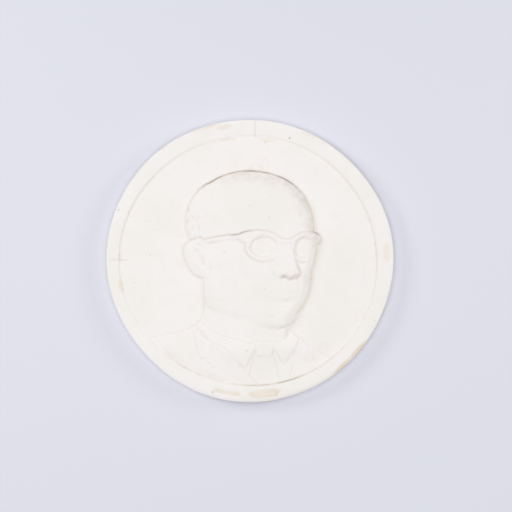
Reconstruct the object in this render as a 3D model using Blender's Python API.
"""A portrait relief medallion, cast in plaster: one solid, lying on its flat back.

The relief looks up along +Z and the top of the head points along +Y.
The origin is the middle of the flat back.  All lengths are in metres.
"""
import math
from collections import namedtuple

import bmesh
import bpy
import numpy as np

# Named sizes
DIAMETER = 0.286
FIELD_THICKNESS = 0.016
RIM_WIDTH = 0.0148
RIM_RISE = 0.003
HEAD_HEIGHT = 0.156
HEAD_RELIEF = 0.0105
HEAD_TURN = math.radians(31)
BODY_TURN = math.radians(9)
HEAD_NOD = math.radians(2)
BODY_LIFT = 0.045

RADIUS = DIAMETER / 2
INNER_RADIUS = RADIUS - RIM_WIDTH

# How finely the heights are worked out, and how many triangles are kept
RINGS_IN_FIELD = 132
RASTER_CELLS = 360
KEPT_SHARE = 0.061

# Tables of shares, chosen by hand
Wave = namedtuple("Wave", "waves swing peak")
Ring = namedtuple("Ring", "inset drop")
Lump = namedtuple("Lump", "name centre radii blend")
Bar = namedtuple("Bar", "name start end start_radius end_radius blend")
Cloth = namedtuple("Cloth", "name rise corners")
Score = namedtuple("Score", "name start end width depth")
Hollow = namedtuple("Hollow", "name angle radius long short turn depth")

# The outline is a little out of round: swing is a share of the radius
OUTLINE = [
    Wave(2, 0.0073, math.radians(160.4)),
    Wave(3, 0.0047, math.radians(25.9)),
    Wave(4, 0.0030, math.radians(0)),
    Wave(6, 0.0021, math.radians(11)),
]
STEP_LINE = [
    Wave(1, 0.0101, math.radians(-137)),
    Wave(2, 0.0151, math.radians(169.8)),
    Wave(3, 0.0052, math.radians(-58.4)),
]

# The worn outer edge of the rim: inset is a share of its width, drop a share of its rise
RIM_EDGE = [
    Ring(0.42, 0.00),
    Ring(0.30, 0.06),
    Ring(0.20, 0.17),
    Ring(0.12, 0.34),
    Ring(0.05, 0.60),
    Ring(0.00, 1.00),
]

# The figure, in heads: x from the middle plane, y up from the chin, z forward from the ears
HEAD_WIDER = 1.10
HEAD_DEEPER = 1.10
SKULL = [
    Lump("cranium", (0, 0.672, -0.015), (0.315, 0.328, 0.415), 0.10),
    Lump("forehead", (0, 0.70, 0.195), (0.235, 0.225, 0.215), 0.12),
    Lump("temple", (0.205, 0.56, 0.165), (0.085, 0.150, 0.140), 0.10),
    Lump("face", (0, 0.37, 0.10), (0.250, 0.34, 0.285), 0.08),
    Lump("muzzle", (0, 0.235, 0.275), (0.145, 0.125, 0.150), 0.08),
    Lump("chin", (0, 0.064, 0.320), (0.095, 0.064, 0.092), 0.06),
    Bar("jaw", (0.05, 0.064, 0.300), (0.215, 0.190, 0.04), 0.056, 0.070, 0.08),
    Bar("jaw_angle", (0.215, 0.190, 0.04), (0.245, 0.44, -0.01), 0.070, 0.055, 0.08),
    Lump("cheekbone", (0.180, 0.410, 0.225), (0.085, 0.070, 0.098), 0.08),
    Lump("cheek", (0.115, 0.320, 0.250), (0.110, 0.120, 0.118), 0.08),
    Lump("jowl", (0.165, 0.240, 0.150), (0.100, 0.145, 0.150), 0.09),
    Bar("cheek_arch", (0.20, 0.415, 0.21), (0.262, 0.46, 0.02), 0.038, 0.038, 0.07),
    Bar("brow", (0.035, 0.578, 0.372), (0.195, 0.588, 0.275), 0.038, 0.034, 0.06),
    Lump("between_brows", (0, 0.575, 0.365), (0.050, 0.060, 0.045), 0.05),
]
EYE_SOCKET = Lump("eye_socket", (0.128, 0.500, 0.445), (0.080, 0.052, 0.110), 0.06)
EYELIDS = Lump("eyelids", (0.133, 0.500, 0.292), (0.080, 0.066, 0.066), 0.016)
EYEBALL = Lump("eyeball", (0.133, 0.500, 0.292), (0.068, 0.058, 0.058), 0.006)
EYE_HALF_WIDTH = 0.064
LID_ARCHES = [(0.024, 1), (0.016, -1)]
NOSE = [
    Bar("bridge", (0, 0.545, 0.356), (0, 0.365, 0.452), 0.028, 0.036, 0.035),
    Lump("nose_side", (0.012, 0.40, 0.380), (0.055, 0.110, 0.070), 0.05),
    Lump("nose_tip", (0, 0.340, 0.462), (0.046, 0.044, 0.048), 0.03),
    Lump("nose_wing", (0.051, 0.325, 0.418), (0.032, 0.034, 0.048), 0.022),
    Lump("nose_middle", (0, 0.304, 0.440), (0.016, 0.022, 0.045), 0.02),
]
NOSTRIL = Lump("nostril", (0.027, 0.290, 0.448), (0.016, 0.012, 0.026), 0.014)
LIPS = [
    Bar("upper_lip", (0, 0.211, 0.420), (0.100, 0.194, 0.352), 0.019, 0.009, 0.016),
    Bar("lower_lip", (0, 0.168, 0.412), (0.088, 0.182, 0.358), 0.023, 0.010, 0.018),
]
FOLDS = [
    Bar("mouth_line", (0, 0.190, 0.446), (0.108, 0.187, 0.374), 0.004, 0.004, 0.010),
    Bar("lip_groove", (0, 0.240, 0.448), (0, 0.285, 0.444), 0.009, 0.009, 0.016),
    Lump("chin_fold", (0, 0.122, 0.480), (0.085, 0.020, 0.072), 0.05),
    Bar("smile_fold", (0.090, 0.318, 0.414), (0.142, 0.205, 0.368), 0.003, 0.005, 0.05),
    Bar("lid_fold_inner", (0.080, 0.524, 0.366), (0.128, 0.549, 0.362), 0.002, 0.003, 0.012),
    Bar("lid_fold_outer", (0.128, 0.549, 0.362), (0.188, 0.528, 0.322), 0.003, 0.002, 0.012),
]
NECK = [
    Bar("neck", (0, 0.26, -0.05), (0, -0.02, -0.08), 0.215, 0.225, 0.07),
    Bar("throat", (0, 0.115, 0.20), (0, -0.08, 0.09), 0.105, 0.110, 0.08),
]
BODY = [
    Lump("collar_roll", (0.01, -0.205, -0.04), (0.285, 0.120, 0.285), 0.05),
    Lump("chest", (0, -0.80, -0.12), (0.58, 0.66, 0.34), 0.12),
    Bar("near_shoulder", (-0.13, -0.13, -0.14), (-0.86, -0.34, -0.20), 0.105, 0.150, 0.12),
    Bar("far_shoulder", (0.19, -0.15, -0.14), (0.60, -0.45, -0.22), 0.095, 0.140, 0.12),
]

# The hollow between the chin and the far side of the collar is filled in
THROAT_FILLING = Lump("throat_filling", (0.160, -0.020, 0.020), (0.072, 0.070, 0.120), 0.06)

# The ear stands on a plane of its own: back, up and out from its middle
EAR_PLACE = (0.334, 0.430, 0.000)
EAR_FLARE = math.radians(34)
EAR_LEAN = math.radians(10)
EAR_RIM = (0.062, 0.108)
EAR_FOLD = (0.034, 0.070)
EAR_LUMPS = [
    Lump("ear_plate", (0, 0, 0.002), (0.062, 0.108, 0.018), 0.012),
    Lump("ear_lobe", (-0.026, -0.104, 0.010), (0.030, 0.036, 0.018), 0.015),
    Lump("ear_flap", (-0.050, -0.018, 0.022), (0.014, 0.024, 0.018), 0.010),
]
EAR_BOWL = Lump("ear_bowl", (-0.012, -0.020, 0.028), (0.030, 0.046, 0.034), 0.010)
EAR_LIFT = 0.018
EAR_RIM_THICK = 0.0150
EAR_FOLD_THICK = 0.0110

# Short hair in uneven pats
HAIR_THICK = 0.012
HAIR_RELIEF = 0.0065
PAT_SIZE = 0.015

# Browline spectacles on a curved front
LENS_MIDDLE = (0.137, 0.487)
LENS_HALVES = (0.092, 0.082)
LENS_RIM_THICK = 0.0095
FRAME_FRONT = 0.425
FRAME_WRAP = 1.05
FRAME_SLOPE = 0.10
BROW_RAIL = [
    (0, 0.527), (0.025, 0.528), (0.050, 0.538), (0.075, 0.555), (0.100, 0.569),
    (0.130, 0.578), (0.165, 0.582), (0.200, 0.581), (0.235, 0.575), (0.262, 0.563),
]
BROW_RAIL_THICK = 0.0130
FRAME_LUMPS = [
    Lump("brow_corner", (0.242, 0.546, 0), (0.032, 0.028, 0.012), 0.012),
    Lump("brow_filling", (0.212, 0.561, 0), (0.045, 0.020, 0.011), 0.012),
]
ARMS = [
    Bar("arm_front", (0.264, 0.556, 0.338), (0.318, 0.545, 0.160), 0.0135, 0.0130, 0.010),
    Bar("arm_back", (0.318, 0.545, 0.160), (0.330, 0.530, 0.010), 0.0130, 0.0120, 0.010),
]
# The far lens stands past the cheek, so the modeller fills the hollow behind it
FAR_BACKING = Bar("far_backing", (0.232, 0.425, 0.345), (0.240, 0.545, 0.345), 0.034, 0.034, 0.060)

# Dress, cut flat over the chest: corners in heads from the middle of the disc, rise in heads
CLOTHES = [
    Cloth("shirt_front", -0.0034, [
        (-0.19, -0.57), (0.03, -0.56), (0.25, -0.54), (0.31, -0.58), (0.215, -1.0),
        (0.03, -1.0),
    ]),
    Cloth("tie_blade", 0.0014, [
        (0.032, -0.60), (0.146, -0.60), (0.245, -0.95), (-0.058, -0.95),
    ]),
    Cloth("left_collar", 0.0054, [
        (-0.345, -0.385), (-0.20, -0.49), (0.045, -0.555), (-0.028, -0.70), (-0.185, -0.592),
        (-0.345, -0.435),
    ]),
    Cloth("right_collar", 0.0054, [
        (0.140, -0.555), (0.235, -0.510), (0.292, -0.450), (0.322, -0.48), (0.296, -0.57),
        (0.215, -0.675),
    ]),
    Cloth("tie_knot", 0.0066, [
        (0.022, -0.53), (0.162, -0.53), (0.138, -0.625), (0.048, -0.625),
    ]),
    Cloth("left_lapel", 0.0044, [
        (-0.365, -0.470), (-0.17, -0.565), (0.10, -0.86), (0.08, -1.0), (-0.15, -0.86),
        (-0.285, -0.72), (-0.225, -0.695), (-0.33, -0.62),
    ]),
    Cloth("right_lapel", 0.0044, [
        (0.325, -0.490), (0.295, -0.585), (0.205, -1.0), (0.33, -0.90), (0.43, -0.745),
        (0.375, -0.725), (0.425, -0.665),
    ]),
]
CLOTH_EDGE = 0.006

# Where the figure stands on the disc, and how the carving is flattened
CHIN_PLACE = (-0.0075, -0.429)
DEEPEST = -0.30
NEAREST = 0.50
FIELD_PLANE = -0.17
FRONT_PLANE = 0.58
SIDE_LEAN = 0.30
TOP_LEAN = 0.16
FLATTENING = 0.80
DETAIL_GAIN = 1.7
DETAIL_REACH = 0.040
SOFTNESS = 0.0075
GROOVE_DEPTH = 0.05
GROOVE_REACH = 0.010
EDGE_HEIGHT = 0.50
EDGE_REACH = 0.035
FADE_START = 0.60
FADE_TO = 0.14
CLOTH_FADE = 0.45

# The step down to the field is bold at the foot of the disc and nearly worn away elsewhere
STEP_BOLDNESS = 0.56
STEP_WAVES = [
    Wave(1, 0.27, math.radians(-77)),
    Wave(2, 0.27, math.radians(-77)),
    Wave(3, 0.24, math.radians(-77)),
]
# Setting-out lines cut across the rim: polar shares of the radius
SCORES = [
    Score("top_line", (0.036, 0.985), (0.036, 0.868), 0.010, 0.26),
    Score("left_line", (-0.965, -0.005), (-0.862, -0.005), 0.010, 0.22),
]
# Bubbles and dents: length and width are shares of the radius, depth is a share of the rim rise
HOLLOWS = [
    Hollow("left_bubble", math.radians(159.4), 0.992, 0.014, 0.012, 0.0, 0.55),
    Hollow("top_bubble", math.radians(71.9), 0.908, 0.012, 0.008, 0.0, 0.40),
    Hollow("foot_dent_left", math.radians(260.4), 0.950, 0.170, 0.028, math.radians(-6), 0.22),
    Hollow("foot_dent_right", math.radians(276.3), 0.947, 0.200, 0.050, math.radians(4), 0.24),
    Hollow("foot_bubble", math.radians(281.0), 0.965, 0.016, 0.014, 0.0, 0.50),
    Hollow("foot_chip", math.radians(254.5), 0.965, 0.016, 0.012, 0.0, 0.40),
]


def smooth(share):
    """Zero to one, with level ends."""
    share = np.clip(share, 0, 1)
    return share * share * (3 - 2 * share)


def length(vectors):
    return np.sqrt((vectors * vectors).sum(axis=0))


def column(values):
    return np.array(values, float)[:, None]


def lump(points, form):
    """Roughly the distance to an ellipsoid, negative inside it."""
    offset = points - column(form.centre)
    radii = column(form.radii)
    near = length(offset / radii)
    steep = length(offset / (radii * radii))
    return near * (near - 1) / np.maximum(steep, 1e-9)


def bar(points, form):
    """Distance to a round bar that may taper."""
    start = column(form.start)
    along = column(form.end) - start
    share = np.clip(((points - start) * along).sum(axis=0) / (along * along).sum(), 0, 1)
    radius = form.start_radius + (form.end_radius - form.start_radius) * share
    return length(points - start - along * share) - radius


def distance(points, form):
    return lump(points, form) if isinstance(form, Lump) else bar(points, form)


def join(one, other, blend):
    """Put two forms together with a soft fillet."""
    reach = np.maximum(blend - np.abs(one - other), 0) / blend
    return np.minimum(one, other) - reach * reach * blend / 4


def carve(one, other, blend):
    """Cut the other form out of the first one."""
    return -join(-one, other, blend)


def oval(across, up, halves):
    """Roughly the distance to an oval line."""
    near = np.hypot(across / halves[0], up / halves[1])
    steep = np.hypot(across / halves[0] ** 2, up / halves[1] ** 2)
    return near * (near - 1) / np.maximum(steep, 1e-9)


def ear(points):
    offset = points - column(EAR_PLACE)
    back = offset[0] * math.sin(EAR_FLARE) - offset[2] * math.cos(EAR_FLARE)
    out = offset[0] * math.cos(EAR_FLARE) + offset[2] * math.sin(EAR_FLARE)
    up = back * math.sin(EAR_LEAN) + offset[1] * math.cos(EAR_LEAN)
    back = back * math.cos(EAR_LEAN) - offset[1] * math.sin(EAR_LEAN)
    narrow = back * (1 + 0.28 * np.clip(-up / EAR_RIM[1], -1, 1))
    place = np.stack([back, up, out])
    form = np.hypot(oval(narrow, up, EAR_RIM), out - EAR_LIFT) - EAR_RIM_THICK
    fold = np.hypot(oval(narrow - 0.002, up - 0.004, EAR_FOLD), out - EAR_LIFT) - EAR_FOLD_THICK
    form = join(form, fold, 0.010)
    for part in EAR_LUMPS:
        form = join(form, lump(place, part), part.blend)
    return carve(form, lump(place, EAR_BOWL), EAR_BOWL.blend)


def eyelids(points):
    """A lid shell with an almond opening cut through it."""
    across = points[0] - EYELIDS.centre[0]
    up = points[1] - EYELIDS.centre[1]
    opening = np.full(across.shape, -1.0)
    for arch, side in LID_ARCHES:
        radius = (EYE_HALF_WIDTH ** 2 + arch ** 2) / (2 * arch)
        curve = np.hypot(across, up - side * (arch - radius)) - radius
        opening = np.maximum(opening, curve)
    return carve(lump(points, EYELIDS), opening, 0.004)


def spectacles(points):
    across, up, forward = points
    front = forward - (FRAME_FRONT - FRAME_WRAP * across * across + FRAME_SLOPE * (up - 0.5))
    unrolled = np.stack([across, up, front])
    form = np.hypot(oval(across - LENS_MIDDLE[0], up - LENS_MIDDLE[1], LENS_HALVES), front) - LENS_RIM_THICK
    rail = np.full(across.shape, 1.0)
    for (x0, y0), (x1, y1) in zip(BROW_RAIL, BROW_RAIL[1:]):
        length_of_rail = Bar("rail", (x0, y0, 0), (x1, y1, 0), BROW_RAIL_THICK, BROW_RAIL_THICK, 0)
        rail = np.minimum(rail, bar(unrolled, length_of_rail))
    form = join(form, rail, 0.008)
    for part in FRAME_LUMPS:
        form = join(form, lump(unrolled, part), part.blend)
    for arm in ARMS:
        form = join(form, bar(points, arm), arm.blend)
    return form


def ripples(points, size):
    """Uneven swells, from -1 to 1."""
    x, y, z = points / size
    first = np.sin(x + 1.7 * np.sin(y))
    second = np.sin(1.3 * y + 1.9 * np.sin(z))
    third = np.sin(1.1 * z + 1.6 * np.sin(x + 2.0))
    return (first + second + third) / 3


def hair(points, scalp):
    """Short hair left round the sides and back of a bald crown."""
    up, forward = points[1], points[2]
    hairline = np.where(up < 0.66, 0.05 + 0.14 * (up - 0.5), 0.072 - 1.35 * (up - 0.66))
    cover = smooth((hairline - forward) / 0.05) * smooth((up - 0.40) / 0.05)
    return scalp - cover * (HAIR_THICK + HAIR_RELIEF * ripples(points, PAT_SIZE))


def head(points):
    points = np.stack([np.abs(points[0]) / HEAD_WIDER, points[1], points[2] / HEAD_DEEPER])
    form = distance(points, SKULL[0])
    for part in SKULL[1:]:
        form = join(form, distance(points, part), part.blend)
    form = hair(points, form)
    form = carve(form, lump(points, EYE_SOCKET), EYE_SOCKET.blend)
    for part in NOSE:
        form = join(form, distance(points, part), part.blend)
    form = carve(form, lump(points, NOSTRIL), NOSTRIL.blend)
    for part in LIPS:
        form = join(form, distance(points, part), part.blend)
    for part in FOLDS:
        form = carve(form, distance(points, part), part.blend)
    form = join(form, eyelids(points), EYELIDS.blend)
    form = join(form, lump(points, EYEBALL), EYEBALL.blend)
    form = join(form, ear(points), 0.018)
    for part in NECK:
        form = join(form, distance(points, part), part.blend)
    return np.minimum(form, spectacles(points))


def turned(x, y, z, turn, nod):
    """From the medallion's directions to those of a figure that looks aside and down."""
    up = y * math.cos(nod) - z * math.sin(nod)
    forward = y * math.sin(nod) + z * math.cos(nod)
    across = x * math.cos(turn) - forward * math.sin(turn)
    forward = x * math.sin(turn) + forward * math.cos(turn)
    return np.stack([across, up, forward])


def figure(x, y, z):
    place = np.stack([x, y, z])
    upright = turned(x, y, z, HEAD_TURN, HEAD_NOD)
    form = join(head(upright), bar(upright, FAR_BACKING), FAR_BACKING.blend)
    body = turned(x, y - BODY_LIFT, z, BODY_TURN, 0)
    for part in BODY:
        form = join(form, distance(body, part), part.blend)
    return join(form, lump(place, THROAT_FILLING), THROAT_FILLING.blend)


def front_surface(x, y):
    """Depth of the figure's visible front at each place, and where there is any figure."""
    shape = x.shape
    x, y = x.ravel(), y.ravel()
    z = np.full(x.shape, NEAREST + 0.1)
    active = np.arange(x.size)
    for _ in range(70):
        gap = figure(x[active], y[active], z[active])
        z[active] -= 0.8 * gap
        active = active[(np.abs(gap) > 2e-4) & (z[active] > DEEPEST)]
        if active.size == 0:
            break
    found = z > DEEPEST
    return np.maximum(z, DEEPEST).reshape(shape), found.reshape(shape).astype(float)


def blur(values, cells):
    """Gaussian blur of a raster."""
    margin = int(4 * cells) + 2
    padded = np.pad(values, margin, mode="edge")
    down = np.fft.fftfreq(padded.shape[0])[:, None]
    across = np.fft.rfftfreq(padded.shape[1])[None, :]
    filtered = np.fft.rfft2(padded) * np.exp(-2 * (math.pi * cells) ** 2 * (across ** 2 + down ** 2))
    return np.fft.irfft2(filtered, s=padded.shape)[margin:-margin, margin:-margin]


def polygon(x, y, corners):
    """Distance to a polygon's edge, positive inside it."""
    nearest = np.full(x.shape, 1e9)
    inside = np.zeros(x.shape, bool)
    for (ax, ay), (bx, by) in zip(corners, corners[1:] + corners[:1]):
        ex, ey = bx - ax, by - ay
        share = np.clip(((x - ax) * ex + (y - ay) * ey) / (ex * ex + ey * ey), 0, 1)
        nearest = np.minimum(nearest, np.hypot(x - ax - ex * share, y - ay - ey * share))
        if ay != by:
            inside ^= ((ay > y) != (by > y)) & (x < ax + (y - ay) / (by - ay) * ex)
    return np.where(inside, nearest, -nearest)


def carve_relief(x, y, cell):
    """Heights of head, bust and dress over the field, on a raster with this cell."""
    x, y, cell = x / HEAD_HEIGHT, y / HEAD_HEIGHT, cell / HEAD_HEIGHT
    across, up = x - CHIN_PLACE[0], y - CHIN_PLACE[1]
    depth, found = front_surface(across, up)
    leaning = (SIDE_LEAN * across + TOP_LEAN * (up - 0.4)) * smooth((up + 0.30) / 0.35)
    share = np.clip((depth + leaning - FIELD_PLANE) / (FRONT_PLANE - FIELD_PLANE), 0, 2) * found
    detail = np.clip(depth - blur(depth, DETAIL_REACH / cell), -0.06, 0.06)
    height = np.maximum(share ** FLATTENING + DETAIL_GAIN * detail * found, 0) * HEAD_RELIEF
    settled = smooth(2 * blur(found, EDGE_REACH / cell) - 1)
    height = height * (EDGE_HEIGHT + (1 - EDGE_HEIGHT) * settled)
    radius = np.hypot(x, y) * HEAD_HEIGHT / RADIUS
    inner = INNER_RADIUS / RADIUS
    low = smooth((radius - FADE_START) / (inner - FADE_START))
    height = height * (1 - (1 - FADE_TO) * low)
    layers = np.zeros(x.shape)
    for cloth in CLOTHES:
        inside = polygon(x, y, cloth.corners)
        cover = smooth(0.5 + inside / (2 * CLOTH_EDGE))
        rolled = cloth.rise * (1 - 0.25 * smooth(inside / 0.06))
        layers = layers * (1 - cover) + rolled * cover
    height = height + layers * HEAD_HEIGHT * found * (1 - CLOTH_FADE * low)
    edge = blur(found, GROOVE_REACH / cell)
    groove = GROOVE_DEPTH * HEAD_RELIEF * 4 * edge * (1 - edge) * smooth(2 - 4 * edge)
    return blur(np.maximum(height, 0), SOFTNESS / cell) - groove


def sample(raster, half, cell, x, y):
    """Read a raster between its cells."""
    column_at = np.clip((x + half) / cell, 0, raster.shape[1] - 1.001)
    row_at = np.clip((y + half) / cell, 0, raster.shape[0] - 1.001)
    left, low = column_at.astype(int), row_at.astype(int)
    right_share, high_share = column_at - left, row_at - low
    bottom = raster[low, left] * (1 - right_share) + raster[low, left + 1] * right_share
    top = raster[low + 1, left] * (1 - right_share) + raster[low + 1, left + 1] * right_share
    return bottom * (1 - high_share) + top * high_share


def uneven(radius, waves, angle):
    """Radius in this direction of a circle drawn by hand."""
    return radius * (1 + sum(wave.swing * np.cos(wave.waves * (angle - wave.peak)) for wave in waves))


def rim_height(inset):
    """Height over the field of the rim, this far in from the outer edge."""
    places = [ring.inset * RIM_WIDTH for ring in reversed(RIM_EDGE)] + [0.90 * RIM_WIDTH]
    heights = [(1 - ring.drop) * RIM_RISE for ring in reversed(RIM_EDGE)] + [0.90 * RIM_RISE]
    top = np.interp(inset, places, heights)
    step = smooth((RIM_WIDTH * 1.03 - inset) / (0.11 * RIM_WIDTH))
    return top * step


def marks(x, y):
    """Setting-out lines, dents and bubbles, as depths below the surface."""
    depth = np.zeros(x.shape)
    for score in SCORES:
        (x0, y0), (x1, y1) = score.start, score.end
        line = Bar("line", (x0, y0, 0), (x1, y1, 0), 0, 0, 0)
        gap = bar(np.stack([x, y, np.zeros(x.shape)]) / RADIUS, line) / (score.width / 2)
        depth = np.maximum(depth, score.depth * np.clip(1 - gap, 0, 1))
    for hollow in HOLLOWS:
        dx = x / RADIUS - hollow.radius * math.cos(hollow.angle)
        dy = y / RADIUS - hollow.radius * math.sin(hollow.angle)
        along = (dx * math.cos(hollow.turn) + dy * math.sin(hollow.turn)) / hollow.long * 2
        aside = (dy * math.cos(hollow.turn) - dx * math.sin(hollow.turn)) / hollow.short * 2
        depth = np.maximum(depth, hollow.depth * np.clip(1 - along ** 2 - aside ** 2, 0, 1))
    return depth * RIM_RISE


for existing in list(bpy.data.objects):
    bpy.data.objects.remove(existing, do_unlink=True)

# Heights of the carving on a square raster
half = 1.03 * INNER_RADIUS
cell = 2 * half / (RASTER_CELLS - 1)
steps = np.linspace(-half, half, RASTER_CELLS)
raster_x, raster_y = np.meshgrid(steps, steps)
carving = carve_relief(raster_x, raster_y, cell)

# Rings of the sheet, as shares of the radius: even over the field, then the rim and its worn edge
inner_share = INNER_RADIUS / RADIUS
rings = list(np.linspace(0, inner_share - 0.004, RINGS_IN_FIELD + 1))
rings += [1 - share * RIM_WIDTH / RADIUS for share in (1.0, 0.965, 0.93, 0.89, 0.80, 0.70, 0.60, 0.50)]
rings += [1 - ring.inset * RIM_WIDTH / RADIUS for ring in RIM_EDGE]
ring_count = len(rings) - 1

# A square grid, each square ring of it pulled out to a circle
sheet = bmesh.new()
bmesh.ops.create_grid(sheet, x_segments=2 * ring_count, y_segments=2 * ring_count, size=1.0)
sheet.verts.ensure_lookup_table()
square = np.array([vertex.co[:2] for vertex in sheet.verts]) * ring_count
square_x, square_y = np.rint(square[:, 0]), np.rint(square[:, 1])
reach = np.maximum(np.abs(square_x), np.abs(square_y))
safe = np.maximum(reach, 1)
sideways = np.abs(square_x) >= np.abs(square_y)
slant = np.where(sideways, square_y, square_x) / safe * math.pi / 4
flat_angle = np.arctan2(np.sin(slant), np.cos(slant) * np.sign(square_x + 1e-9))
upright_angle = np.arctan2(np.cos(slant) * np.sign(square_y + 1e-9), np.sin(slant))
angle = np.where(sideways, flat_angle, upright_angle)
ring_share = np.array(rings)[reach.astype(int)]
step_radius = uneven(INNER_RADIUS, STEP_LINE, angle)
over_rim = (uneven(RADIUS, OUTLINE, angle) - step_radius) / (1 - inner_share)
sheet_radius = step_radius * np.minimum(ring_share / inner_share, 1)
sheet_radius += over_rim * np.maximum(ring_share - inner_share, 0)
sheet_x, sheet_y = sheet_radius * np.cos(angle), sheet_radius * np.sin(angle)

edge_inset = (1 - ring_share) * RADIUS
lean = uneven(STEP_BOLDNESS, STEP_WAVES, angle)
relief = sample(carving, half, cell, sheet_x, sheet_y)
relief = relief * smooth((edge_inset - RIM_WIDTH) / (0.30 * RIM_WIDTH))
surface = FIELD_THICKNESS + relief + rim_height(edge_inset) * lean
surface = surface - marks(sheet_x, sheet_y)
centre_x = (sheet_x.max() + sheet_x.min()) / 2
centre_y = (sheet_y.max() + sheet_y.min()) / 2
for vertex, x, y, z in zip(sheet.verts, sheet_x, sheet_y, surface):
    vertex.co = (x - centre_x, y - centre_y, round(z, 5))

front_mesh = bpy.data.meshes.new("front")
sheet.to_mesh(front_mesh)
sheet.free()
front = bpy.data.objects.new("front", front_mesh)
bpy.context.scene.collection.objects.link(front)
thinning = front.modifiers.new("thinning", "DECIMATE")
thinning.ratio = KEPT_SHARE
thinned = front.evaluated_get(bpy.context.evaluated_depsgraph_get())

# The thinned sheet, closed with the side wall and the flat back
solid = bmesh.new()
solid.from_mesh(thinned.to_mesh())
bpy.data.objects.remove(front, do_unlink=True)
border = [edge for edge in solid.edges if edge.is_boundary]
wall = bmesh.ops.extrude_edge_only(solid, edges=border)
foot = [item for item in wall["geom"] if isinstance(item, bmesh.types.BMVert)]
for vertex in foot:
    vertex.co.z = 0
foot_edges = [edge for edge in solid.edges if edge.is_boundary]
bmesh.ops.contextual_create(solid, geom=foot_edges)
bmesh.ops.triangulate(solid, faces=list(solid.faces))
bmesh.ops.recalc_face_normals(solid, faces=list(solid.faces))
for face in solid.faces:
    face.smooth = True

mesh = bpy.data.meshes.new("plaster_medallion")
solid.to_mesh(mesh)
solid.free()
medallion = bpy.data.objects.new("plaster_medallion", mesh)
bpy.context.scene.collection.objects.link(medallion)

plaster = bpy.data.materials.new("cast_plaster")
plaster.use_nodes = True
shader = plaster.node_tree.nodes["Principled BSDF"]
shader.inputs["Base Color"].default_value = (0.86, 0.83, 0.79, 1)
shader.inputs["Roughness"].default_value = 0.85
medallion.data.materials.append(plaster)
